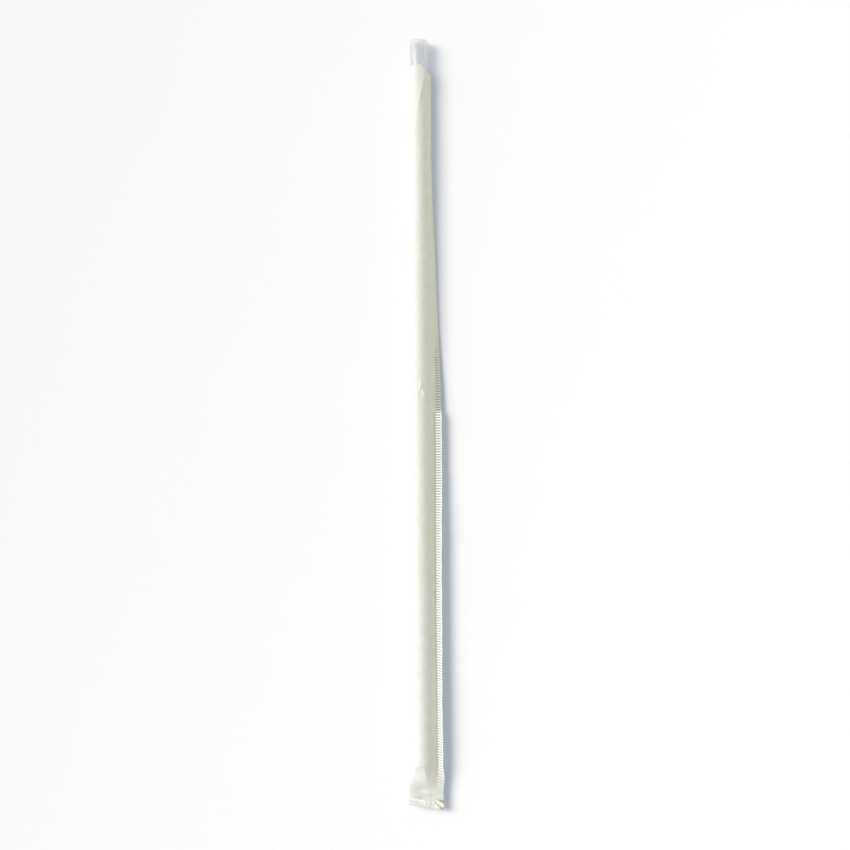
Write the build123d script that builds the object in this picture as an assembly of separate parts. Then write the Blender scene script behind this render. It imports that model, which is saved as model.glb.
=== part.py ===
from build123d import *

import os
from dataclasses import dataclass
from math import acos, atan2, cos, degrees, hypot, radians, sin

# Wrapped drinking straw: an extruded plastic straw in a paper sleeve that is torn open at one end.
#
# Millimetres. The part lies on the plane Z = 0 with the straw along Y. +Y points out of the straw's
# open end and +X to the side that carries the sleeve's fin seal. The origin lies on the flat strip
# that the sleeve rests on, straight below the straw's axis, half-way along the whole part.
#
# The sleeve is one sheet of paper. It is folded round the straw, its two long edges are sealed face
# to face into a fin, and its foot is pressed flat. The other end was torn open. Each section across
# the sleeve is a loop of paper drawn tight round the straw's circle and out to a corner at the fin.

# --- Straw ---------------------------------------------------------------------------------------
STRAW_LENGTH = 260.0
STRAW_DIAMETER = 6.35
STRAW_WALL = 0.20
STRAW_EXPOSED = 9.3  # from the straw's open end back to the sleeve's torn mouth

# --- Sleeve --------------------------------------------------------------------------------------
PAPER = 0.08  # one ply
SIDE_CLEARANCE = 0.155  # between the straw and the paper round it
FLOOR_CLEARANCE = 0.05  # between the straw and the paper that it lies on
END_CLEARANCE = 0.5  # between the straw's hidden end and the start of the taper
FIN_WIDTH = 2.4

# Taper, where the loop is pressed flat beyond the straw's hidden end
TAPER_LENGTH = 8.5
WAIST_SHARE = 0.55  # how far down the taper its middle section stands
WAIST_SQUASH = 0.55  # height that is left at that section, of the full height
WAIST_TUCK = 0.25  # how far the folded side draws in there
PINCH_LENGTH = 0.4  # from the end of the hollow to the seal
PINCH_GAP = 0.12  # height that is left of the hollow there

# Foot, where the two plies are crimped together
FOOT_LENGTH = 6.8
FOOT_SKEW = 6.8  # degrees that the crimp is out of square
FOOT_FOLD_REACH = 1.4  # how far the flat foot spreads past the sleeve's round side
FOOT_SEAM_REACH = 1.4  # from the sleeve's round side to the root of the fin, at the foot
FOOT_FLARE = 0.6  # how far the folded corner spreads further along the foot

# Torn mouth, as (place across the sleeve from the straw's axis, in straw radii; place along it)
TORN_EDGE = [
    (-1.00, -0.40),
    (-0.70, 0.00),
    (-0.48, -0.40),
    (0.05, 0.35),
    (0.35, -0.45),
    (0.90, -2.00),
    (1.25, -2.70),
    (1.40, -3.30),
]

# --- Values that follow from the driving sizes ---------------------------------------------------
straw_radius = STRAW_DIAMETER / 2
loop_inside = straw_radius + SIDE_CLEARANCE
loop_outside = loop_inside + PAPER
axis_height = PAPER + FLOOR_CLEARANCE + straw_radius
low_corner_height = PAPER + FIN_WIDTH  # here a fin that hangs straight down just clears the floor

foot_left = -(loop_outside + FOOT_FOLD_REACH)
foot_root = loop_outside + FOOT_SEAM_REACH
foot_right = foot_root + FIN_WIDTH
foot_drop = FOOT_LENGTH * cos(radians(FOOT_SKEW)) + foot_right * sin(radians(FOOT_SKEW))
overall_length = STRAW_LENGTH + END_CLEARANCE + TAPER_LENGTH + foot_drop

open_end_y = overall_length / 2
mouth_y = open_end_y - STRAW_EXPOSED
hidden_end_y = open_end_y - STRAW_LENGTH
taper_start_y = hidden_end_y - END_CLEARANCE
waist_y = taper_start_y - TAPER_LENGTH * WAIST_SHARE
seal_y = taper_start_y - TAPER_LENGTH


@dataclass
class Station:
    """One section of the sleeve along the straw.

    along: 0 where the taper starts, 1 at the torn mouth.
    reach: from the sleeve's round side to the root of the fin.
    lift: height of the fin's root, 0 for the low corner and 1 for level with the straw's axis.
    fin_angle: degrees, 0 for a level fin, -90 for one that hangs straight down.
    """

    along: float
    reach: float
    lift: float
    fin_angle: float


# The fin hangs down beside the straw from the mouth to the kink near the middle. There it turns out
# level, and towards the foot it stands up more and more.
STATIONS = [
    Station(1.03, 1.15, 0.00, -84),
    Station(0.86, 0.85, 0.00, -82),
    Station(0.69, 1.35, 0.15, -72),
    Station(0.60, 1.50, 0.45, -47),
    Station(0.508, 1.52, 0.85, -26),
    Station(0.500, 1.54, 1.00, 2),
    Station(0.40, 1.54, 1.00, 8),
    Station(0.22, 1.46, 1.00, 30),
    Station(0.00, 1.72, 1.00, 38),
]


def polar(angle: float, length: float) -> Vector:
    """The vector of a length at an angle in degrees."""
    return Vector(length * cos(radians(angle)), length * sin(radians(angle)))


def tangent_angle(centre: Vector, radii: Vector, point: Vector, side: int) -> float:
    """The ellipse's own angle, in degrees, where the tangent through an outside point touches it.

    The ellipse is scaled to a unit circle, where the touching points lie either side of the line
    to the point, at the angle whose cosine is one over its distance. side is 1 for the upper one.
    """
    sideways = (point.X - centre.X) / radii.X
    upwards = (point.Y - centre.Y) / radii.Y
    return degrees(atan2(upwards, sideways) + side * acos(1 / hypot(sideways, upwards)))


def on_ellipse(centre: Vector, radii: Vector, angle: float) -> Vector:
    """The ellipse's point at its own angle, in degrees."""
    return centre + Vector(radii.X * cos(radians(angle)), radii.Y * sin(radians(angle)))


def meeting_point(start_a: Vector, end_a: Vector, start_b: Vector, end_b: Vector) -> Vector:
    """Where two lines would meet if each were moved one ply towards the inside of the loop.

    Both lines run with the inside of the loop on their left.
    """
    along_a = (end_a - start_a).normalized()
    along_b = (end_b - start_b).normalized()
    foot_a = start_a + Vector(-along_a.Y, along_a.X) * PAPER
    foot_b = start_b + Vector(-along_b.Y, along_b.X) * PAPER
    gap = foot_b - foot_a
    turn = along_a.X * along_b.Y - along_a.Y * along_b.X
    return foot_a + along_a * ((gap.X * along_b.Y - gap.Y * along_b.X) / turn)


def arc(centre: Vector, radii: Vector, start: float, end: float) -> Edge:
    """The ellipse's stretch between two of its own angles, anticlockwise."""
    if radii.X == radii.Y:
        return CenterArc(centre, radii.X, start, end - start)
    return EllipticalCenterArc(centre, radii.X, radii.Y, start, arc_size=end - start)


def round_part(centre: Vector, radii: Vector, rest: float, upper: float, lower: float) -> list:
    """The loop's edges round the straw, from the upper tangent point to the lower one.

    They go over the top, round the folded side, along the flat strip underneath and up again.
    rest is half the angle that the flat strip takes out of the circle.
    """
    left_of_strip = 270 - rest
    right_of_strip = 270 + rest
    strip = Line(
        on_ellipse(centre, radii, left_of_strip),
        on_ellipse(centre, radii, right_of_strip),
    )
    return [
        arc(centre, radii, upper, 165),
        arc(centre, radii, 165, 195),
        arc(centre, radii, 195, left_of_strip),
        strip,
        arc(centre, radii, right_of_strip, 360 + lower),
    ]


def loop_sections(centre: Vector, radii: Vector, root: Vector, fin_angle: float) -> tuple:
    """The outside face, with the fin, and the hollow's face, of a loop drawn out to a corner."""
    thickness = polar(fin_angle + 90, PAPER)
    out = polar(fin_angle, FIN_WIDTH)
    upper_root = root + thickness
    lower_root = root - thickness
    upper = tangent_angle(centre, radii, upper_root, 1)
    lower = tangent_angle(centre, radii, lower_root, -1)
    upper_touch = on_ellipse(centre, radii, upper)
    lower_touch = on_ellipse(centre, radii, lower)
    fin = [lower_touch, lower_root, lower_root + out, upper_root + out, upper_root, upper_touch]
    rest_outside = degrees(acos(axis_height / loop_outside))
    outside = round_part(centre, radii, rest_outside, upper, lower)
    outside += [Line(start, end) for start, end in zip(fin, fin[1:])]

    inner_radii = radii - Vector(PAPER, PAPER)
    corner = meeting_point(lower_touch, lower_root, upper_root, upper_touch)
    upper = tangent_angle(centre, inner_radii, corner, 1)
    lower = tangent_angle(centre, inner_radii, corner, -1)
    rest_inside = degrees(acos((axis_height - PAPER) / loop_inside))
    inside = round_part(centre, inner_radii, rest_inside, upper, lower)
    inside.append(Line(on_ellipse(centre, inner_radii, lower), corner))
    inside.append(Line(corner, on_ellipse(centre, inner_radii, upper)))
    return Face(Wire(outside)), Face(Wire(inside))


def flat_section(left: float, root: float, right: float) -> Face:
    """Two plies pressed flat, from the fold on the left to the fin's edge on the right."""
    step = (root - left) / 6
    places = [left + PAPER, left + 2 * step, left + 4 * step, left + 5 * step, root, right]
    under = [Vector(place, axis_height - PAPER) for place in places]
    over = [Vector(place, axis_height + PAPER) for place in places]
    fold = ThreePointArc(over[0], (left, axis_height), under[0])
    edges = [Line(over[3], over[0]), fold]
    edges += [Line(start, end) for start, end in zip(under, under[1:])]
    edges += [Line(under[5], over[5]), Line(over[5], over[4]), Line(over[4], over[3])]
    return Face(Wire(edges))


def slit_section(left: float, right: float) -> Face:
    """The hollow where the plies have nearly met: a slit that runs out to a point on the right."""
    step = (right - left) / 6
    places = [left, left + 2 * step, left + 4 * step, left + 5 * step]
    under = [Vector(place, axis_height - PINCH_GAP / 2) for place in places]
    over = [Vector(place, axis_height + PINCH_GAP / 2) for place in places]
    loop = [over[3], over[0], *under, Vector(right, axis_height), over[3]]
    return Face(Wire([Line(start, end) for start, end in zip(loop, loop[1:])]))


def across(y: float, skew: float = 0.0) -> Plane:
    """The upright plane across the sleeve at a place along it, turned by skew degrees about Z."""
    x_dir = (cos(radians(skew)), -sin(radians(skew)), 0)
    z_dir = (-sin(radians(skew)), -cos(radians(skew)), 0)
    return Plane(origin=(0, y, 0), x_dir=x_dir, z_dir=z_dir)


def make_straw() -> Part:
    """The extruded tube, cut square at both ends."""
    ring = Circle(straw_radius) - Circle(straw_radius - STRAW_WALL)
    hidden_end = Plane(origin=(0, hidden_end_y, axis_height), x_dir=(1, 0, 0), z_dir=(0, 1, 0))
    return extrude(hidden_end * ring, STRAW_LENGTH)


def torn_off() -> Part:
    """All that lies past the torn mouth, from below the floor to above the sleeve."""
    edge = [(share * straw_radius, mouth_y + place) for share, place in TORN_EDGE]
    left, right = -3 * loop_outside, 3 * loop_outside
    first, last = edge[0], edge[-1]
    past = open_end_y
    outline = [(left, past), (left, first[1]), *edge, (right, last[1]), (right, past)]
    cutter = extrude(make_face(Polyline(*outline, close=True)), 4 * loop_outside)
    return Pos(0, 0, -loop_outside) * cutter


def make_sleeve() -> Part:
    """The folded, fin-sealed sheet: a loft outside, less a loft for the hollow and the torn end."""
    centre = Vector(0, axis_height)
    round_radii = Vector(loop_outside, loop_outside)
    outside = []
    hollow = []
    for station in STATIONS:
        root_height = low_corner_height + station.lift * (axis_height - low_corner_height)
        root = Vector(loop_outside + station.reach, root_height)
        outer, inner = loop_sections(centre, round_radii, root, station.fin_angle)
        plane = across(taper_start_y + station.along * (mouth_y - taper_start_y))
        outside.append(plane * outer)
        hollow.append(plane * inner)

    waist_radii = Vector(loop_outside - WAIST_TUCK, loop_outside * WAIST_SQUASH)
    waist_root = Vector(loop_outside + STATIONS[-1].reach, axis_height)
    outer, inner = loop_sections(centre, waist_radii, waist_root, STATIONS[-1].fin_angle / 2)
    waist = across(waist_y, FOOT_SKEW / 2)
    outside.append(waist * outer)
    hollow.append(waist * inner)

    pinch = across(seal_y + PINCH_LENGTH, FOOT_SKEW)
    hollow.append(pinch * slit_section(-loop_outside, loop_outside))

    seal = across(seal_y, FOOT_SKEW)
    edge = seal.offset(FOOT_LENGTH)
    outside.append(seal * flat_section(foot_left, foot_root, foot_right))
    outside.append(edge * flat_section(foot_left - FOOT_FLARE, foot_root, foot_right))
    return loft(outside, ruled=True) - loft(hollow, ruled=True) - torn_off()


if __name__ == "__main__":
    os.makedirs("parts", exist_ok=True)
    export_step(make_straw(), "parts/straw.step")
    export_step(make_sleeve(), "parts/paper_sleeve.step")
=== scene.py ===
"""Looks of the wrapped drinking straw: a clear plastic straw in a torn, fin-sealed paper sleeve.

Lengths in the classes are millimetres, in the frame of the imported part: the straw runs along Y,
+Y points out of its open end, +X is the side of the fin seal and the sleeve lies on Z = 0.
"""

import logging
import math
from dataclasses import dataclass
from enum import Enum

import bpy
import numpy as np
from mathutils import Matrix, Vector

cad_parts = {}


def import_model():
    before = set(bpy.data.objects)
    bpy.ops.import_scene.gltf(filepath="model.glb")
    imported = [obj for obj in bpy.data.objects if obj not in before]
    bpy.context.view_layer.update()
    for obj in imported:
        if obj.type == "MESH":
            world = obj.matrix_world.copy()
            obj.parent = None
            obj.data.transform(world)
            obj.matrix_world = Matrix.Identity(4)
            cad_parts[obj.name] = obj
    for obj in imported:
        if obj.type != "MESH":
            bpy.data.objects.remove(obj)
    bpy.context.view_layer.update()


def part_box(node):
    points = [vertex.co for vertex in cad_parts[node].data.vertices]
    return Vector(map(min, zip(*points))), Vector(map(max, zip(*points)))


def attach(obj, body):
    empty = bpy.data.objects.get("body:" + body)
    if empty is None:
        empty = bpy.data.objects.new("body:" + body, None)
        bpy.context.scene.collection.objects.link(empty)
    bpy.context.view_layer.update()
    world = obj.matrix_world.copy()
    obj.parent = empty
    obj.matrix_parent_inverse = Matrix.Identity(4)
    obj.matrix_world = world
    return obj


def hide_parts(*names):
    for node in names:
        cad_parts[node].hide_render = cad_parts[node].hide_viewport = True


MM = 0.001
SLEEVE_RADIUS = 3.4
EXPOSED = 9.3  # millimetres of straw outside the torn mouth
END_CLEARANCE = 0.5  # from the straw's hidden end to the start of the taper
TAPER_LENGTH = 8.5
LOG = logging.getLogger("scene")
Track = tuple[tuple[float, float], ...]


# --- Helpers -------------------------------------------------------------------------------------
def linear(code: str) -> tuple[float, float, float, float]:
    """Turn an sRGB hex colour into linear RGBA.

    Args:
        code: six hex digits, with or without a leading #.

    Returns:
        Red, green, blue and alpha. Each channel c is c / 12.92 below 0.04045, and
        ((c + 0.055) / 1.055) to the power 2.4 above it.
    """
    digits = code.lstrip("#")
    channels = [int(digits[i : i + 2], 16) / 255 for i in (0, 2, 4)]
    values = [c / 12.92 if c <= 0.04045 else ((c + 0.055) / 1.055) ** 2.4 for c in channels]
    return (values[0], values[1], values[2], 1.0)


def smooth(low: float, high: float, value: np.ndarray) -> np.ndarray:
    """A smooth step: 0 below low, 1 above high and 3t^2 - 2t^3 between them.

    Args:
        low: where the step starts. It may be larger than high, which turns the step round.
        high: where the step ends.
        value: the places to evaluate.

    Returns:
        The step's height at each place.
    """
    t = np.clip((value - low) / (high - low), 0.0, 1.0)
    return t * t * (3 - 2 * t)


def hump(value: np.ndarray, centre: float, width: float) -> np.ndarray:
    """A bell: the exponential of minus the square of (value - centre) / width.

    Args:
        value: the places to evaluate.
        centre: where the bell is 1.
        width: how far from there it has fallen to 1/e.

    Returns:
        The bell's height at each place.
    """
    return np.exp(-(((value - centre) / width) ** 2))


def follow(track: Track, places: np.ndarray) -> np.ndarray:
    """Read a track by straight lines between its points.

    Args:
        track: (place, value) pairs in rising order of place.
        places: the places to evaluate.

    Returns:
        The value at each place, held level past the track's ends.
    """
    known, values = zip(*track)
    return np.interp(places, known, values)


def make_object(name: str, points: np.ndarray, faces: list[list[int]]) -> bpy.types.Object:
    """Make a mesh object from points in millimetres, with its faces turned outwards.

    Args:
        name: the piece's name.
        points: an array of shape (n, 3).
        faces: closed rings of indices into points.

    Returns:
        The new object, at the origin and linked into the scene.
    """
    corners = np.array([[f[0], f[i], f[i + 1]] for f in faces for i in range(1, len(f) - 1)])
    a, b, c = (points[corners[:, i]] for i in range(3))
    volume = np.einsum("ij,ij->i", a, np.cross(b, c)).sum() / 6
    if volume < 0:
        faces = [ring[::-1] for ring in faces]
    mesh = bpy.data.meshes.new(name)
    mesh.from_pydata((points * MM).tolist(), [], faces)
    mesh.validate()
    mesh.update()
    mesh.shade_smooth()
    piece = bpy.data.objects.new(name, mesh)
    bpy.context.scene.collection.objects.link(piece)
    LOG.info("%s: %d points, %d triangles", name, len(points), len(corners))
    return piece


def add_node(
    tree: bpy.types.NodeTree, kind: str, inputs: dict | None = None, **settings: object
) -> bpy.types.Node:
    """Add a node with its settings, its constant inputs and its links.

    Args:
        tree: the node tree.
        kind: the node's type.
        inputs: by name or index, an output socket to link or a constant to set.
        settings: attributes of the node itself.

    Returns:
        The new node.
    """
    node = tree.nodes.new(kind)
    for key, value in settings.items():
        setattr(node, key, value)
    for key, value in (inputs or {}).items():
        if isinstance(value, bpy.types.NodeSocket):
            tree.links.new(value, node.inputs[key])
        else:
            node.inputs[key].default_value = value
    return node


def new_material(name: str) -> tuple[bpy.types.Material, bpy.types.NodeTree]:
    """Make an empty node material.

    Args:
        name: the material's name.

    Returns:
        The material and its node tree, with no nodes in it.
    """
    material = bpy.data.materials.new(name)
    material.use_nodes = True
    material.node_tree.nodes.clear()
    return material, material.node_tree


def noise(
    tree: bpy.types.NodeTree,
    size: float,
    detail: float = 2.0,
    stretch: tuple[float, float, float] = (1, 1, 1),
) -> bpy.types.NodeSocket:
    """Add noise in object coordinates with features of a real size.

    Args:
        tree: the node tree.
        size: the size of a feature, in millimetres.
        detail: the noise's octaves.
        stretch: how much longer the features are along X, Y and Z.

    Returns:
        The noise's value socket.
    """
    place = add_node(tree, "ShaderNodeTexCoord").outputs["Object"]
    scale = tuple(1.0 / (size * MM * s) for s in stretch)
    mapping = add_node(tree, "ShaderNodeMapping", {"Vector": place, "Scale": scale})
    texture = add_node(
        tree,
        "ShaderNodeTexNoise",
        {"Vector": mapping.outputs["Vector"], "Scale": 1.0, "Detail": detail, "Roughness": 0.55},
    )
    return texture.outputs["Fac"]


def blend_colours(
    tree: bpy.types.NodeTree, share: bpy.types.NodeSocket, first: object, second: object
) -> bpy.types.NodeSocket:
    """Mix two colours.

    Args:
        tree: the node tree.
        share: how much of the second colour there is, from 0 to 1.
        first: a colour or a socket.
        second: a colour or a socket.

    Returns:
        The mixed colour's socket.
    """
    node = add_node(tree, "ShaderNodeMix", {0: share, 6: first, 7: second}, data_type="RGBA")
    return node.outputs[2]


def seen_directly(tree: bpy.types.NodeTree) -> bpy.types.NodeSocket:
    """Tell the rays that show a surface from those that only carry light.

    Args:
        tree: the node tree.

    Returns:
        A socket that is 1 for camera, glossy and transmission rays and 0 for all others.
    """
    path = add_node(tree, "ShaderNodeLightPath").outputs
    shown = path["Is Camera Ray"]
    for kind in ("Is Glossy Ray", "Is Transmission Ray"):
        node = add_node(tree, "ShaderNodeMath", {0: shown, 1: path[kind]}, operation="MAXIMUM")
        shown = node.outputs[0]
    return shown


def spread(
    tree: bpy.types.NodeTree, value: bpy.types.NodeSocket, low: float, high: float
) -> bpy.types.NodeSocket:
    """Stretch a value so that low becomes 0 and high becomes 1, clipped to that range.

    Args:
        tree: the node tree.
        value: the value's socket.
        low: the value that becomes 0.
        high: the value that becomes 1.

    Returns:
        The stretched value's socket.
    """
    node = add_node(tree, "ShaderNodeMapRange", {"Value": value, "From Min": low, "From Max": high})
    return node.outputs["Result"]


# --- Finishes ------------------------------------------------------------------------------------
@dataclass(frozen=True)
class PaperFinish:
    """Thin, uncoated, machine-glazed wrapping paper.

    pale and deep: its colour on thin and on dense fibre clouds. painted_shade: the colour of the
    shade painted into the crimp's valleys, along the fin's upper root and into the foot's pressed
    marks.
    grain and cloud: the sizes of the fibres and of the clouds, in millimetres. relief: the height
    of the fibres, in millimetres. painted_crest_glow: the strength of the faint glow painted, with
    a white painted highlight, on the crimp's crests.
    """

    pale: str = "#f7f7f3"
    deep: str = "#eceee4"
    # colour of the painted shade in the crimp's valleys, along the fin's root and in the foot's
    # pressed marks
    painted_shade: str = "#85866c"
    grain: float = 0.45
    cloud: float = 2.2
    relief: float = 0.055
    # strength of the glow painted on the crimp's crests, part of their painted highlight
    painted_crest_glow: float = 0.22
    roughness: float = 0.62

    def material(self) -> bpy.types.Material:
        """Build the node material.

        The mesh carries two attributes: painted_shade, the mask of shade painted into the crimp's
        valleys, along the fin's upper root and into the foot's pressed marks, and crest, the mask
        of a white painted highlight with a faint painted glow on the crimp's crests, the fin's
        outer edge and the foot's raised marks.

        Returns:
            The paper's material.
        """
        material, tree = new_material("sleeve_paper_finish")
        fibres = noise(tree, self.grain, 3.0, (1.0, 2.2, 1.0))
        clouds = noise(tree, self.cloud, 3.0, (1.0, 1.8, 1.0))
        share = spread(tree, clouds, 0.35, 0.65)
        colour = blend_colours(tree, share, linear(self.pale), linear(self.deep))
        specks = spread(tree, fibres, 0.30, 0.75)
        colour = blend_colours(tree, specks, colour, linear(self.pale))
        # painted shade: the colour turns to the painted shade colour where the mask is 1
        painted_shade_mask = add_node(tree, "ShaderNodeAttribute", attribute_name="painted_shade").outputs["Fac"]
        colour = blend_colours(tree, painted_shade_mask, colour, linear(self.painted_shade))
        # painted highlight: the colour turns white on the crests, the fin's outer edge and the
        # foot's raised marks
        crest = add_node(tree, "ShaderNodeAttribute", attribute_name="crest").outputs["Fac"]
        colour = blend_colours(tree, crest, colour, (1.0, 1.0, 1.0, 1.0))
        painted_glow_strength = add_node(tree, "ShaderNodeMath", {0: crest, 1: self.painted_crest_glow}, operation="MULTIPLY")
        cloud_bump = add_node(
            tree,
            "ShaderNodeBump",
            {"Height": clouds, "Strength": 0.5, "Distance": 3 * self.relief * MM},
        )
        bump = add_node(
            tree,
            "ShaderNodeBump",
            {
                "Height": fibres,
                "Strength": 1.0,
                "Distance": self.relief * MM,
                "Normal": cloud_bump.outputs["Normal"],
            },
        )
        shader = add_node(
            tree,
            "ShaderNodeBsdfPrincipled",
            {
                "Base Color": colour,
                "Roughness": self.roughness,
                "Specular IOR Level": 0.3,
                # painted highlight: the crests glow faintly by this emission, though the paper is
                # no lamp
                "Emission Color": (1.0, 1.0, 0.98, 1.0),
                "Emission Strength": painted_glow_strength.outputs[0],
                "Normal": bump.outputs["Normal"],
            },
        )
        add_node(tree, "ShaderNodeOutputMaterial", {"Surface": shader.outputs["BSDF"]})
        return material


@dataclass(frozen=True)
class PlasticFinish:
    """Clear extruded polypropylene, faintly milky, with fine draw lines along its length.

    tint and haze: its two close tones. line: the draw lines' spacing, and relief: their height,
    both in millimetres. clearness: the share of light that passes straight through a wall's face.
    """

    tint: str = "#eceff3"
    haze: str = "#e6eaee"
    line: float = 0.35
    relief: float = 0.006
    roughness: float = 0.14
    clearness: float = 0.66

    def material(self) -> bpy.types.Material:
        """Build the node material.

        Returns:
            The straw's material.
        """
        material, tree = new_material("straw_plastic_finish")
        lines = noise(tree, self.line, 2.0, (1.0, 60.0, 1.0))
        cloud = noise(tree, 3.0, 2.0, (1.0, 6.0, 1.0))
        bump = add_node(
            tree,
            "ShaderNodeBump",
            {"Height": lines, "Strength": 1.0, "Distance": self.relief * MM},
        )
        colour = blend_colours(tree, cloud, linear(self.tint), linear(self.haze))
        shader = add_node(
            tree,
            "ShaderNodeBsdfPrincipled",
            {
                "Base Color": colour,
                "Roughness": self.roughness,
                "IOR": 1.49,
                "Alpha": 1.0 - self.clearness,
                "Coat Weight": 1.0,
                "Coat Roughness": 0.10,
                "Normal": bump.outputs["Normal"],
            },
        )
        add_node(tree, "ShaderNodeOutputMaterial", {"Surface": shader.outputs["BSDF"]})
        return material


@dataclass(frozen=True)
class BackdropFinish:
    """Matt card that reads white under its lamp, and a little bluish in shadow.

    colour and mottled: its two close tones, in clouds mottle millimetres wide. glow and lift: the
    tint and the strength of the light added where the camera, or a clear or glossy surface, sees
    the card.
    """

    colour: str = "#bcbcbf"
    mottled: str = "#bdbdc0"
    mottle: float = 40.0
    glow: str = "#cce2ff"
    lift: float = 0.26

    def material(self) -> bpy.types.Material:
        """Build the node material.

        Returns:
            The backdrop's material.
        """
        material, tree = new_material("backdrop_card")
        cloud = noise(tree, self.mottle, 2.0)
        colour = blend_colours(tree, cloud, linear(self.colour), linear(self.mottled))
        card = add_node(tree, "ShaderNodeBsdfDiffuse", {"Color": colour, "Roughness": 0.5})
        shown = seen_directly(tree)
        strength = add_node(
            tree, "ShaderNodeMath", {0: shown, 1: self.lift}, operation="MULTIPLY"
        )
        glow = add_node(
            tree,
            "ShaderNodeEmission",
            {"Color": linear(self.glow), "Strength": strength.outputs[0]},
        )
        both = add_node(
            tree, "ShaderNodeAddShader", {0: card.outputs["BSDF"], 1: glow.outputs["Emission"]}
        )
        add_node(tree, "ShaderNodeOutputMaterial", {"Surface": both.outputs["Shader"]})
        return material


# --- Straw ---------------------------------------------------------------------------------------
@dataclass
class Straw:
    """The extruded tube, with both cut ends a little softened."""

    radius: float
    axis_height: float
    open_end: float
    hidden_end: float
    wall: float = 0.20
    softening: float = 0.05
    sides: int = 120
    lengths: int = 40

    def profile(self) -> np.ndarray:
        """The wall's closed outline, as (radius, place along the straw).

        Returns:
            An array of shape (n, 2), from the open end down the outside and back up the inside.
            At each end the outline cuts the corners at 45 degrees by the softening.
        """
        outside, inside, soft = self.radius, self.radius - self.wall, self.softening
        down = np.linspace(self.open_end - soft, self.hidden_end + soft, self.lengths)
        outer = np.column_stack((np.full(self.lengths, outside), down))
        inner = np.column_stack((np.full(self.lengths, inside), down[::-1]))
        low = [(outside - soft, self.hidden_end), (inside + soft, self.hidden_end)]
        high = [(inside + soft, self.open_end), (outside - soft, self.open_end)]
        return np.vstack((outer, low, inner, high))

    def build(self, finish: PlasticFinish) -> bpy.types.Object:
        """Make the tube by turning its outline round the axis, and dress it.

        Args:
            finish: the plastic.

        Returns:
            The straw's object.
        """
        outline = self.profile()
        angle = np.linspace(0, 2 * math.pi, self.sides, endpoint=False)
        radius, along = outline[:, 0][:, None], outline[:, 1][:, None]
        x = radius * np.cos(angle)
        z = self.axis_height + radius * np.sin(angle)
        y = np.broadcast_to(along, x.shape)
        points = np.stack((x, y, z), axis=-1).reshape(-1, 3)
        index = np.arange(len(points)).reshape(x.shape)
        below = np.roll(index, -1, axis=0)
        quads = np.stack((index, np.roll(index, -1, 1), np.roll(below, -1, 1), below), axis=-1)
        piece = make_object("straw_tube", points, quads.reshape(-1, 4).tolist())
        piece.data.set_sharp_from_angle(angle=math.radians(60))
        piece.data.materials.append(finish.material())
        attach(piece, "straw")
        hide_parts("straw")
        return piece


# --- Sleeve --------------------------------------------------------------------------------------
class Side(Enum):
    """Which face of the paper a surface is."""

    OUTSIDE = "outside"
    INSIDE = "inside"


@dataclass(frozen=True)
class Crease:
    """A small sharp fold in the paper.

    turn: its angle about the axis, in radians. place: its middle along the sleeve. width: half
    its width, in radians. length: half its length. slope: how far round it runs, in millimetres
    for each one along. height: how far it stands off.
    """

    turn: float
    place: float
    width: float
    length: float
    slope: float
    height: float

    def height_at(self, angle: np.ndarray, y: np.ndarray) -> np.ndarray:
        """The crease's height: a bell across its line times a bell along it.

        Args:
            angle: angle about the axis, in radians.
            y: place along the sleeve.

        Returns:
            The outward distance.
        """
        line = (angle - self.turn) - self.slope * (y - self.place) / SLEEVE_RADIUS
        return self.height * hump(line, 0.0, self.width) * hump(y, self.place, self.length)


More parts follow.
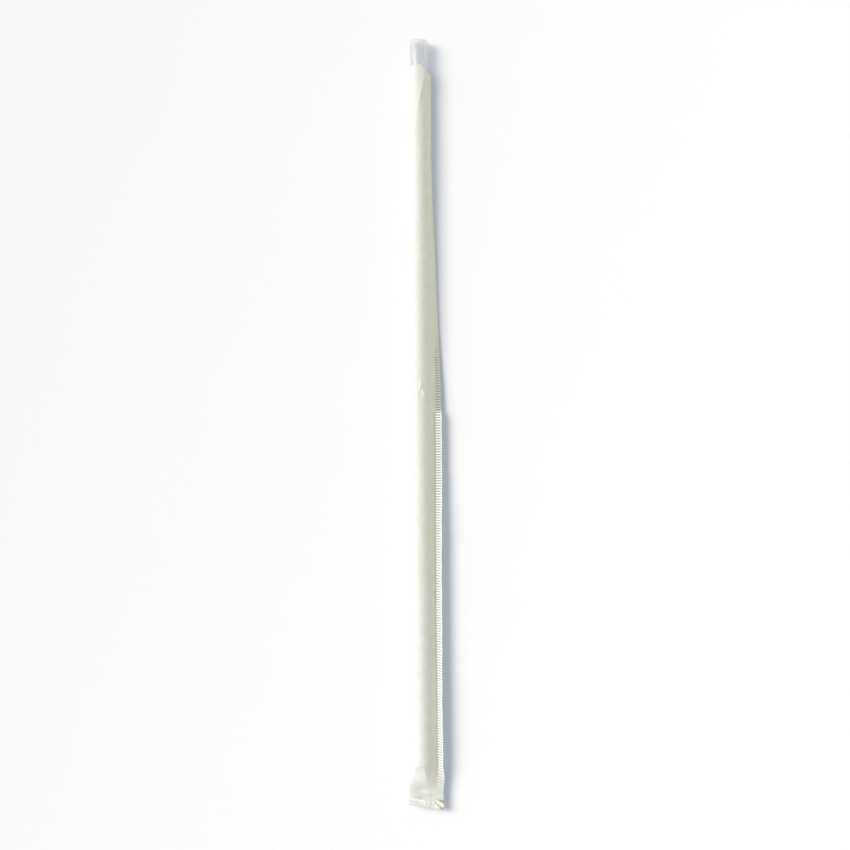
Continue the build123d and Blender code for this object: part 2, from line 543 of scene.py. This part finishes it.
@dataclass
class Sleeve:
    """The paper sleeve: one sheet round the straw, sealed into a fin, with a crimped foot.

    Each section across it is a loop drawn tight round a circle and out to a corner, where the
    fin starts. Rows run from the torn mouth to the foot's edge, and columns go from the upper
    root of the fin over the top, round the folded side and underneath to the lower root.
    """

    axis_height: float
    mouth: float
    taper_start: float
    seal: float

    paper: float = 0.08
    radius: float = 3.41
    fin_width: float = 2.4
    rib_pitch: float = 0.945
    rib_height: float = 0.20
    rows_a_rib: int = 6
    coarse: int = 3
    columns: int = 72
    fin_steps: int = 5
    foot_length: float = 6.8
    foot_skew: float = 8.0
    foot_left: float = -4.75
    foot_root: float = 4.75
    foot_flare: float = 0.55  # how far the folded corner spreads along the foot
    straw_radius: float = 3.175
    fin_clearance: float = 0.02  # between the floor and a fin that hangs straight down
    ridge_height: float = 0.42  # how far the ridge stands off the circle at the mouth
    ridge_radius: float = 3.7  # the ridge's own distance from the axis
    corner_inset: float = 1.6  # how far the inside of the fin's corner draws back, in plies
    pinched: float = 0.02  # half the hollow's height where the plies meet
    emboss_depth: float = 0.16  # relief at which a pressed mark takes full painted shade and a raised one full painted highlight
    bow: float = 0.18  # how far the folded side bows along the middle of the sleeve

    # (place along, distance of the fin's root from the axis)
    root_reach: Track = (
        (-122.0, 5.13), (-98.7, 5.03), (-77.1, 4.89), (-34.0, 4.91), (-12.5, 4.99), (4.2, 4.95),
        (30.6, 4.89), (52.1, 4.75), (73.7, 4.44), (95.2, 4.10), (116.7, 4.20), (130.0, 4.25),
    )
    # (place along, the fin's angle in degrees), with the kink between 4.2 and 5.2
    fin_turn: Track = (
        (-122.0, 38.0), (-98.7, 38.0), (-77.1, 31.0), (-55.6, 30.0), (-34.0, 20.0), (-12.5, 5.0),
        (4.2, 1.0), (5.2, -24.0), (16.2, -34.0), (30.6, -47.0), (52.1, -62.0), (73.7, -76.0),
        (95.2, -82.0), (130.0, -84.0),
    )
    # (place along, height of the root: 1 level with the axis, 0 where a hanging fin just clears
    # the floor)
    root_lift: Track = (
        (4.2, 1.0), (5.2, 0.86), (16.2, 0.68), (30.6, 0.45), (52.1, 0.20), (73.7, 0.05),
        (95.2, 0.0),
    )
    # (place along, value) of the crimp's depth, of how strongly shade is painted into its valleys
    # and a highlight onto its crests, and of its lean in degrees
    rib_depth: Track = (
        (-128.0, 0.4), (-121.0, 1.0), (4.0, 1.0), (6.0, 0.9), (24.0, 0.7), (36.0, 0.12),
    )
    rib_shade: Track = ((-131.0, 0.0), (-124.0, 1.0), (4.0, 1.0), (24.0, 0.7), (36.0, 0.1))
    rib_lean: Track = ((-122.0, 17.0), (-60.0, 12.0), (-8.0, 0.0))
    # (place along, place across) of the ridge that runs back from the mouth
    mouth_ridge: Track = (
        (104.0, -1.6), (113.9, -0.3), (117.2, 0.4), (120.3, 1.0), (126.1, 2.0), (130.0, 2.3),
    )
    # Torn mouth: (place across in straw radii, place along)
    torn_edge: Track = (
        (-1.0, -0.55), (-0.86, -0.20), (-0.70, 0.10), (-0.50, -0.50), (-0.40, -0.05),
        (-0.20, 0.15), (0.04, 0.42), (0.22, 0.0), (0.38, -0.50), (0.62, -1.35), (0.80, -2.05),
        (0.95, -2.35), (1.25, -2.75), (1.40, -3.20), (1.80, -3.60),
    )
    creases: tuple[Crease, ...] = (
        Crease(1.78, 37.0, 0.05, 0.9, 0.10, 0.352),
        Crease(1.62, 13.6, 0.07, 1.0, -0.25, 0.484),
        Crease(1.35, 12.2, 0.06, 1.2, 0.30, 0.572),
        Crease(1.18, 11.2, 0.08, 0.7, -0.20, 0.440),
        Crease(1.85, 10.4, 0.05, 1.5, 0.15, 0.308),
        Crease(1.50, 15.0, 0.05, 0.8, 0.35, 0.330),
        Crease(2.02, -121.2, 0.06, 0.5, 0.40, 0.308),
        Crease(2.60, 61.0, 0.10, 4.0, 0.02, 0.110),
        Crease(1.90, -47.0, 0.05, 5.0, 0.01, 0.110),
        Crease(2.20, -88.0, 0.06, 6.0, 0.01, 0.110),
    )

    def rows(self) -> tuple[np.ndarray, int, int]:
        """Places of the fine rows along the sleeve.

        Returns:
            The rows' places from the mouth to the foot's edge, the index of the row where the
            taper starts and the index of the row where the foot starts.
        """
        step = self.rib_pitch / self.rows_a_rib
        body = self.coarse * 2 * round((self.mouth - self.taper_start) / step / self.coarse / 2)
        taper = round((self.taper_start - self.seal) / step)
        foot = round(self.foot_length / step)
        places = np.concatenate(
            (
                np.linspace(self.mouth, self.taper_start, body + 1),
                np.linspace(self.taper_start, self.seal, taper + 1)[1:],
                np.linspace(self.seal, self.seal - self.foot_length, foot + 1)[1:],
            )
        )
        return places, body, body + taper

    def corner(self, y: np.ndarray) -> tuple[np.ndarray, np.ndarray, np.ndarray]:
        """The fin's root and its direction in each row.

        Args:
            y: the rows' places.

        Returns:
            The root's distance from the axis across the sleeve, its height above the axis and
            the fin's angle in radians, each by straight lines between the named places.
        """
        reach = follow(self.root_reach, y)
        share = follow(self.root_lift, y)
        low = self.paper + self.fin_width + self.fin_clearance - self.axis_height
        turn = np.radians(follow(self.fin_turn, y))
        flat = smooth(self.taper_start, self.seal + 1.5, y)
        return reach, (1 - share) * low, turn * (1 - flat)

    def loop(self, y: np.ndarray, side: Side) -> tuple[np.ndarray, np.ndarray]:
        """The loop's points in each row, without its fin.

        In polar form about the axis the loop is the circle's radius R, and within the angle a of
        a corner at distance D, where cos a = R / D, it is R / cos(a - |t - c|), with c the
        corner's own angle. A second, softer corner is the ridge that runs back from the mouth.

        Args:
            y: the rows' places.
            side: which face of the paper.

        Returns:
            Arrays of places across and heights above the axis, of shape (rows, columns + 1).
        """
        reach, rise, turn = self.corner(y)
        inset = self.paper if side is Side.INSIDE else 0.0
        radius = self.radius - inset
        half = self.paper if side is Side.OUTSIDE else 0.0
        root_x = reach - self.corner_inset * inset
        upper_at = (rise + half * np.cos(turn), root_x - half * np.sin(turn))
        lower_at = (rise - half * np.cos(turn), root_x + half * np.sin(turn))
        upper, far_up = np.arctan2(*upper_at), np.hypot(*upper_at)
        lower, far_low = np.arctan2(*lower_at), np.hypot(*lower_at)
        share = np.linspace(0, 1, self.columns + 1)[None, :]
        angle = upper[:, None] + (lower - upper + 2 * math.pi)[:, None] * share
        upper_wrap = np.arccos(radius / far_up)[:, None]
        lower_wrap = np.arccos(radius / far_low)[:, None]
        from_upper = angle - upper[:, None]
        from_lower = lower[:, None] + 2 * math.pi - angle
        stand = self.ridge_height * smooth(self.mouth_ridge[0][0], 127.0, y)
        crest = np.clip(follow(self.mouth_ridge, y) / self.ridge_radius, -1, 1)
        ridge_wrap = np.arccos(radius / (radius + stand + 1e-6))[:, None]
        from_ridge = np.abs(angle - np.arccos(crest)[:, None])
        corners = ((from_upper, upper_wrap), (from_lower, lower_wrap), (from_ridge, ridge_wrap))
        length = np.full(angle.shape, radius)
        for away, wrap in corners:
            reach_out = radius / np.cos(np.where(away < wrap, wrap - away, 0))
            length = np.maximum(length, reach_out)

        length = length + self.relief(angle, y[:, None])
        x = length * np.cos(angle)
        z = length * np.sin(angle)
        middle = (smooth(125.0, 20.0, y) * smooth(-120.0, -20.0, y))[:, None]
        folded_side = (angle > math.pi / 2) & (angle < 1.5 * math.pi)
        x = x + self.bow * middle * folded_side * np.cos(angle)
        return x, np.maximum(z, inset - self.axis_height)

    def relief(self, angle: np.ndarray, y: np.ndarray) -> np.ndarray:
        """How far the paper stands off its tight loop: slack waves, and creases.

        Args:
            angle: angle about the axis, in radians.
            y: place along the sleeve.

        Returns:
            The outward distance. Waves are sums of sines that fade round the sides.
        """
        top = hump(angle, 1.75, 0.9)
        waves = np.sin(y / 7.3 + 1.3 * np.sin(y / 19.0)) * np.sin(2.2 * angle + y / 31.0)
        waves = waves + 0.6 * np.sin(y / 3.1 + 2.0 * np.sin(angle * 1.7) + 0.7 * np.sin(y / 11.0))
        total = 0.028 * (1 + waves * 0.6) * top
        total = total + 0.05 * hump(y, 110.0, 20.0) * top * (1 + np.sin(y / 2.3 + 3 * angle))
        for crease in self.creases:
            total = total + crease.height_at(angle, y)
        return total

    def tear(self, x: np.ndarray) -> np.ndarray:
        """The torn edge's offset along the sleeve.

        Args:
            x: place across the sleeve.

        Returns:
            The offset, by straight lines between the named teeth, with fine ragged fibres.
        """
        edge = follow(self.torn_edge, x / self.straw_radius)
        ragged = 0.05 * np.sin(x * 23.0) + 0.04 * np.sin(x * 41.0 + 1.0)
        return edge + ragged

    def flat(self, down: np.ndarray, side: Side) -> tuple[np.ndarray, np.ndarray]:
        """The pressed plies' points: places across and heights above the axis.

        Args:
            down: distance of each row below the seal, negative above it.
            side: which face of the paper.

        Returns:
            Arrays of shape (rows, columns + 1). The first half of the columns runs along the
            upper ply to the fold, and the second half comes back along the lower one.
        """
        share = np.linspace(0, 1, self.columns + 1)[None, :]
        spread_out = (np.clip(down, 0, None) / self.foot_length)[:, None]
        left = self.foot_left - self.foot_flare * spread_out**1.2
        fold = 1 - np.abs(2 * share - 1)
        x = self.foot_root + (left - self.foot_root) * fold
        half = self.paper if side is Side.OUTSIDE else self.pinched
        shape = np.sqrt(np.clip((1 - fold) * 6, 0, 1))
        z = half * np.where(share < 0.5, 1.0, -1.0) * shape
        return x, z + np.zeros_like(x)

    def emboss(self, x: np.ndarray, down: np.ndarray) -> np.ndarray:
        """The crimp tool's relief in the foot.

        Args:
            x: place across the foot.
            down: distance below the seal.

        Returns:
            The height: a row of dashes, a wavy ridge nearer the edge that breaks into dashes,
            diagonal marks below it, pleats that fan out to the fin's corner and slack waves.
        """
        inside = smooth(-0.2, 0.5, down) * smooth(6.9, 6.5, down)
        dash = smooth(0.1, 0.55, np.sin(2 * math.pi * (x - 0.1) / 1.5))
        upper = hump(down, 1.35, 0.18) * dash * smooth(-3.6, -0.6, x) * smooth(4.6, 3.0, x)
        line = 4.75 + 0.22 * np.sin(2 * math.pi * x / 1.9) + 0.06 * x
        ridge = hump(down, line, 0.25) * smooth(-5.6, -4.4, x)
        broken = np.where(x > 0.3, dash, 1.0) * smooth(6.9, 3.6, x)
        slant = np.sin(2 * math.pi * (x + 0.8 * down) / 1.25)
        marks = hump(down, 5.85, 0.45) * smooth(0.2, 0.7, slant)
        bearing = np.arctan2(down - 2.2, x - 1.0)
        fan = np.sin(bearing * 17.0) * smooth(3.4, 5.2, x) * smooth(2.6, 4.2, down)
        slack = np.sin(1.1 * x + 0.9 * down) * np.sin(0.8 * down - 0.3 * x + 1.0)
        relief = 0.20 * upper + 0.22 * ridge * broken + 0.12 * marks + 0.14 * fan + 0.03 * slack
        return inside * relief

    def fin(
        self, y: np.ndarray, sign: np.ndarray, share: np.ndarray
    ) -> tuple[np.ndarray, np.ndarray]:
        """The fin's points.

        Args:
            y: the rows' places.
            sign: 1 for a column of the upper face and -1 for one of the lower face.
            share: how far out each column is, from 0 at the root to 1 at the tip.

        Returns:
            Places across and heights above the axis, of shape (rows, columns). The fin is a
            straight strip, and its crimp is a sine along it of one rib pitch, which leans more
            and more towards the foot and is faint near the mouth.
        """
        reach, rise, turn = self.corner(y)
        turn, share = turn[:, None], share[None, :]
        out = self.fin_width * share
        depth = self.rib_height * follow(self.rib_depth, y)[:, None] * smooth(0.0, 0.22, share)
        ribs = depth * np.sin(self.rib_phase(y, share))
        curl = 0.10 * np.sin(y / 9.0)[:, None] * share**2
        normal = sign * self.paper * (1 - 0.25 * share) + ribs + curl
        edge = 0.05 * np.sin(y / 1.7 + np.sin(y / 4.1))[:, None] * share
        x = reach[:, None] + (out + edge) * np.cos(turn) - normal * np.sin(turn)
        z = rise[:, None] + (out + edge) * np.sin(turn) + normal * np.cos(turn)
        return x, np.maximum(z, -self.axis_height)

    def fin_columns(self) -> tuple[np.ndarray, np.ndarray]:
        """The fin's columns, out along its lower face and back along its upper one.

        Returns:
            How far out each column is, from 0 at the root to 1 at the tip, and -1 for a column
            of the lower face or 1 for one of the upper face.
        """
        steps = np.arange(1, self.fin_steps + 1) / self.fin_steps
        sign = np.hstack((-np.ones(self.fin_steps), np.ones(self.fin_steps)))
        return np.hstack((steps, steps[::-1])), sign

    def painted_shade_and_highlight(self) -> tuple[np.ndarray, np.ndarray]:
        """Where shade and a highlight are painted on each outside point.

        Returns:
            Two arrays of shape (rows, columns) from 0 to 1: painted shade in the ribs' valleys,
            along the fin's upper root and in the foot's pressed marks, and painted highlight on the
            ribs' crests, the fin's outer edge and the foot's raised marks.
        """
        y, _, _ = self.rows()
        out, sign = self.fin_columns()
        loop_columns = self.columns + 1
        across = np.hstack((np.zeros(loop_columns), out))[None, :]
        wave = np.sin(self.rib_phase(y, across)) * np.hstack((np.ones(loop_columns), sign))
        on_fin = follow(self.rib_shade, y)[:, None] * smooth(0.0, 0.2, across)
        # painted shade in the ribs' valleys, fading out before the fin's edge
        painted_valley_shade = 0.85 * on_fin * (0.5 - 0.5 * wave) ** 2.5 * smooth(1.05, 0.85, across)
        # painted highlight on the ribs' crests and along the fin's outer edge
        ridge = on_fin * np.maximum((0.5 + 0.5 * wave) ** 1.2, smooth(0.8, 1.0, across))
        ridge = ridge * smooth(3.6, 5.2, -y + 9.2)[:, None]
        # painted shade: a line along the fin's upper root
        painted_valley_shade[:, 0] = 0.45 * smooth(-129.0, -122.0, y) * smooth(5.2, 4.2, y)
        down = (self.seal - y)[:, None]
        flat_x, _ = self.flat(down[:, 0], Side.OUTSIDE)
        fin_x = np.broadcast_to(self.foot_root + self.fin_width * out, (len(y), len(out)))
        # painted shade in the foot's pressed marks and painted highlight on its raised ones
        pressed = self.emboss(np.hstack((flat_x, fin_x)), down) / self.emboss_depth
        painted_shade_mask = np.clip(-pressed, 0, 1) * 0.9
        raised = np.clip(pressed, 0, 1)
        return np.clip(painted_valley_shade + painted_shade_mask, 0, 1), np.clip(ridge + raised, 0, 1)

    def rib_phase(self, y: np.ndarray, share: np.ndarray) -> np.ndarray:
        """The crimp's phase on the fin, which leans more and more towards the foot.

        Args:
            y: the rows' places.
            share: how far out each column is, of shape (1, columns).

        Returns:
            The phase in radians, of shape (rows, columns).
        """
        lean = np.tan(np.radians(follow(self.rib_lean, y)))[:, None]
        return 2 * math.pi * (y[:, None] + self.fin_width * share * lean) / self.rib_pitch

    def surface(self, side: Side) -> np.ndarray:
        """All points of one face of the paper.

        Args:
            side: the outside has the fin's columns after the loop's, and the inside has none.

        Returns:
            An array of shape (rows, columns, 3). Down the taper the loop turns into the flat
            plies: heights shrink evenly, and places across spread out only near the seal.
        """
        y, _, _ = self.rows()
        x, z = self.loop(y, side)
        down = self.seal - y
        flat_x, flat_z = self.flat(down, side)
        if side is Side.OUTSIDE:
            out, sign = self.fin_columns()
            fin_x, fin_z = self.fin(y, sign, out)
            x, z = np.hstack((x, fin_x)), np.hstack((z, fin_z))
            shape = (len(y), len(out))
            fin_x = np.broadcast_to(self.foot_root + self.fin_width * out, shape)
            flat_x = np.hstack((flat_x, fin_x))
            flat_z = np.hstack((flat_z, np.broadcast_to(self.paper * sign, shape)))
        progress = np.clip((self.taper_start - y) / (self.taper_start - self.seal), 0, 1)[:, None]
        sideways = smooth(0.42, 1.0, progress)
        press = progress**1.15
        ridge_x = 0.3 + 1.4 * progress
        roof = 1 - np.abs(x - ridge_x) / 4.6
        folded = np.where(z > 0, 3.3 * roof, z)
        crisp = 0.85 * np.sin(math.pi * np.clip(progress * 1.15, 0, 1)) * (np.abs(x) < 3.6)
        if side is Side.INSIDE:
            folded = folded - self.paper
        z = z + crisp * (np.clip(folded, -3.4, 3.4) - z) * (z > 0.4)
        across = x * (1 - sideways) + flat_x * sideways
        height = z * (1 - press) + flat_z * press
        height = height + self.emboss(flat_x, down[:, None])
        skew = math.tan(math.radians(self.foot_skew)) * smooth(0.0, 1.0, progress)
        along = y[:, None] - across * skew
        torn = smooth(self.mouth - 14.0, self.mouth, y)[:, None]
        along = along + torn * self.tear(across)
        height = np.maximum(height + self.axis_height, self.paper if side is Side.INSIDE else 0.0)
        return np.stack((across, along, height), axis=-1)

    @staticmethod
    def quads(
        ids: np.ndarray, tops: np.ndarray, lows: np.ndarray, columns: np.ndarray
    ) -> list[list[int]]:
        """Faces between pairs of rows and neighbouring columns.

        Args:
            ids: the point's index at each row and column.
            tops: the first row of each pair.
            lows: the second row of each pair.
            columns: the columns in order.

        Returns:
            Rings of four indices.
        """
        upper, lower = ids[np.ix_(tops, columns)], ids[np.ix_(lows, columns)]
        grid = np.stack((upper[:, :-1], upper[:, 1:], lower[:, 1:], lower[:, :-1]), axis=-1)
        return grid.reshape(-1, 4).tolist()

    def build(self, finish: PaperFinish) -> bpy.types.Object:
        """Make the sleeve's closed shell and dress it.

        Fine rows carry the fin, the taper and the foot. Elsewhere the loop has one row in a few,
        and the faces beside the fin's roots take up the extra points.

        Args:
            finish: the paper.

        Returns:
            The sleeve's object.
        """
        _, taper_row, foot_row = self.rows()
        outer, inner = self.surface(Side.OUTSIDE), self.surface(Side.INSIDE)
        last, n = len(outer) - 1, self.columns
        used = np.ones(outer.shape[:2], dtype=bool)
        used[: taper_row + 1, 1:n] = False
        used[: taper_row + 1 : self.coarse, 1:n] = True
        ids = np.full(used.shape, -1)
        ids[used] = np.arange(used.sum())
        faces: list[list[int]] = []

        top = np.arange(0, taper_row, self.coarse)
        low = top + self.coarse
        loop_columns = np.arange(n + 1)
        faces += self.quads(ids, top, low, loop_columns[1:-1])
        between = [ids[top + i, 0] for i in range(self.coarse, -1, -1)]
        faces += np.stack((ids[top, 1], ids[low, 1], *between), axis=-1).tolist()
        between = [ids[top + i, n] for i in range(self.coarse + 1)]
        faces += np.stack((*between, ids[low, n - 1], ids[top, n - 1]), axis=-1).tolist()

        fine = np.arange(taper_row, last)
        faces += self.quads(ids, fine, fine + 1, loop_columns)
        ring = np.array([*range(n, n + 1 + 2 * self.fin_steps), 0])
        every = np.arange(last)
        faces += self.quads(ids, every, every + 1, ring)
        faces.append(ids[last].tolist())

        inner_rows = np.unique(np.append(np.arange(0, foot_row, 2 * self.coarse), foot_row - 1))
        inside = inner[inner_rows][:, :n]
        count = int(used.sum())
        inner_ids = count + np.arange(inside.shape[0] * n).reshape(-1, n)
        beside = np.roll(inner_ids, -1, axis=1)
        grid = np.stack((inner_ids[:-1], inner_ids[1:], beside[1:], beside[:-1]), axis=-1)
        faces += grid.reshape(-1, 4).tolist()
        faces.append(inner_ids[-1].tolist()[::-1])
        j = np.arange(n)
        rim = np.stack((ids[0, j], inner_ids[0, j], beside[0, j], ids[0, j + 1]), axis=-1)
        faces += rim[:-1].tolist()
        faces.append([ids[0, n - 1], inner_ids[0, n - 1], inner_ids[0, 0], ids[0, n]])
        faces.append([ids[0, 0], *ids[0, ring[:-1]][::-1].tolist(), inner_ids[0, 0]])

        points = np.vstack((outer[used], inside.reshape(-1, 3)))
        piece = make_object("sleeve_sheet", points, [[int(i) for i in f] for f in faces])
        # the painted shade and painted highlight masks, stored as point attributes for the paper's
        # material
        for key, values in zip(("painted_shade", "crest"), self.painted_shade_and_highlight()):
            marks = np.concatenate((values[used], np.zeros(inside.shape[0] * n)))
            layer = piece.data.attributes.new(key, "FLOAT", "POINT")
            layer.data.foreach_set("value", marks.astype(np.float32))
        piece.data.set_sharp_from_angle(angle=math.radians(38))
        piece.data.materials.append(finish.material())
        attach(piece, "sleeve")
        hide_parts("paper_sleeve")
        return piece


# --- Studio --------------------------------------------------------------------------------------
@dataclass
class Studio:
    """A plain pale floor, soft lamps from the upper left, even fill and the camera overhead.

    Lamps' strengths are in watts a square metre, and their widths and all angles in degrees.
    """

    camera_height: float = 600.0
    camera_across: float = 1.4
    camera_roll: float = -0.4
    half_view: float = 14.3
    key: float = 1.10
    key_spread: float = 35.0
    side: float = 1.10
    side_spread: float = 60.0
    table: float = 4.55
    table_spread: float = 32.0
    key_direction: tuple[float, float, float] = (-1.0, 0.42, 1.0)
    side_direction: tuple[float, float, float] = (-1.0, 0.30, 0.28)
    lamp_tint: tuple[float, float, float] = (1.0, 0.985, 1.05)
    table_tint: tuple[float, float, float] = (1.0, 0.894, 0.747)
    fill: float = 0.50
    fill_tint: tuple[float, float, float, float] = (1.0, 1.03, 0.89, 1.0)
    floor_size: float = 6000.0

    def floor(self, finish: BackdropFinish) -> bpy.types.Object:
        """Lay the floor at Z = 0.

        Args:
            finish: the card's material.

        Returns:
            The floor's object.
        """
        half = self.floor_size / 2
        points = np.array([(-half, -half, 0), (half, -half, 0), (half, half, 0), (-half, half, 0)])
        mesh = bpy.data.meshes.new("floor_card")
        mesh.from_pydata((points * MM).tolist(), [], [[0, 1, 2, 3]])
        card = bpy.data.objects.new("floor_card", mesh)
        bpy.context.scene.collection.objects.link(card)
        mesh.materials.append(finish.material())
        return card

    def lamp(
        self, name: str, strength: float, width: float, towards: tuple[float, float, float]
    ) -> bpy.types.Object:
        """Add a distant soft lamp.

        Args:
            name: the lamp's name.
            strength: its irradiance, in watts a square metre.
            width: the angle that it fills as seen from the part, in degrees.
            towards: the direction from the part to the lamp.

        Returns:
            The lamp's object.
        """
        data = bpy.data.lights.new(name, "SUN")
        data.energy = strength
        data.angle = math.radians(width)
        data.color = self.lamp_tint
        lamp = bpy.data.objects.new(name, data)
        lamp.rotation_euler = Vector(towards).normalized().to_track_quat("Z", "Y").to_euler()
        bpy.context.scene.collection.objects.link(lamp)
        return lamp

    def light(self, card: bpy.types.Object) -> None:
        """Add the key lamp, the low side lamp, the table's own lamp and the room's even fill.

        Args:
            card: the floor, which alone takes the table lamp's light and so shows a firm shadow.
        """
        self.lamp("key_lamp", self.key, self.key_spread, self.key_direction)
        side = self.lamp("side_lamp", self.side, self.side_spread, self.side_direction)
        side.data.use_shadow = False
        table = self.lamp("table_lamp", self.table, self.table_spread, self.key_direction)
        table.data.color = self.table_tint
        only_floor = bpy.data.collections.new("lit_by_table_lamp")
        only_floor.objects.link(card)
        table.light_linking.receiver_collection = only_floor
        world = bpy.data.worlds.new("room")
        bpy.context.scene.world = world
        world.use_nodes = True
        tree = world.node_tree
        tree.nodes.clear()
        room = add_node(
            tree, "ShaderNodeBackground", {"Color": self.fill_tint, "Strength": self.fill}
        )
        white = add_node(
            tree, "ShaderNodeBackground", {"Color": (1.0, 1.0, 1.0, 1.0), "Strength": 1.0}
        )
        mixed = add_node(
            tree,
            "ShaderNodeMixShader",
            {0: seen_directly(tree), 1: room.outputs[0], 2: white.outputs[0]},
        )
        add_node(tree, "ShaderNodeOutputWorld", {"Surface": mixed.outputs[0]})

    def camera(self, axis_height: float) -> None:
        """Hang the camera straight above the middle of the part.

        Args:
            axis_height: height of the straw's axis, from which the camera's own is measured.
        """
        lens = bpy.data.cameras.new("overhead")
        lens.sensor_width = 36.0
        lens.lens = 18.0 / math.tan(math.radians(self.half_view))
        lens.clip_end = 20.0
        camera = bpy.data.objects.new("overhead", lens)
        height = (axis_height + self.camera_height) * MM
        camera.location = (self.camera_across * MM, 0.0, height)
        camera.rotation_euler = (0.0, 0.0, math.radians(self.camera_roll))
        bpy.context.scene.collection.objects.link(camera)
        bpy.context.scene.camera = camera


def main() -> None:
    """Build the pieces, the floor, the light and the camera."""
    logging.basicConfig(level=logging.INFO, format="%(name)s: %(message)s")
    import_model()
    low, high = (np.array(tuple(corner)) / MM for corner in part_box("straw"))
    axis_height = float(low[2] + high[2]) / 2
    open_end, hidden_end = float(high[1]), float(low[1])
    straw = Straw(float(high[0] - low[0]) / 2, axis_height, open_end, hidden_end)
    straw.build(PlasticFinish())
    taper_start = hidden_end - END_CLEARANCE
    sleeve = Sleeve(axis_height, open_end - EXPOSED, taper_start, taper_start - TAPER_LENGTH)
    sleeve.build(PaperFinish())
    studio = Studio()
    studio.light(studio.floor(BackdropFinish()))
    studio.camera(axis_height)
    bpy.context.scene.view_settings.view_transform = "Standard"


if __name__ == "__main__":
    main()
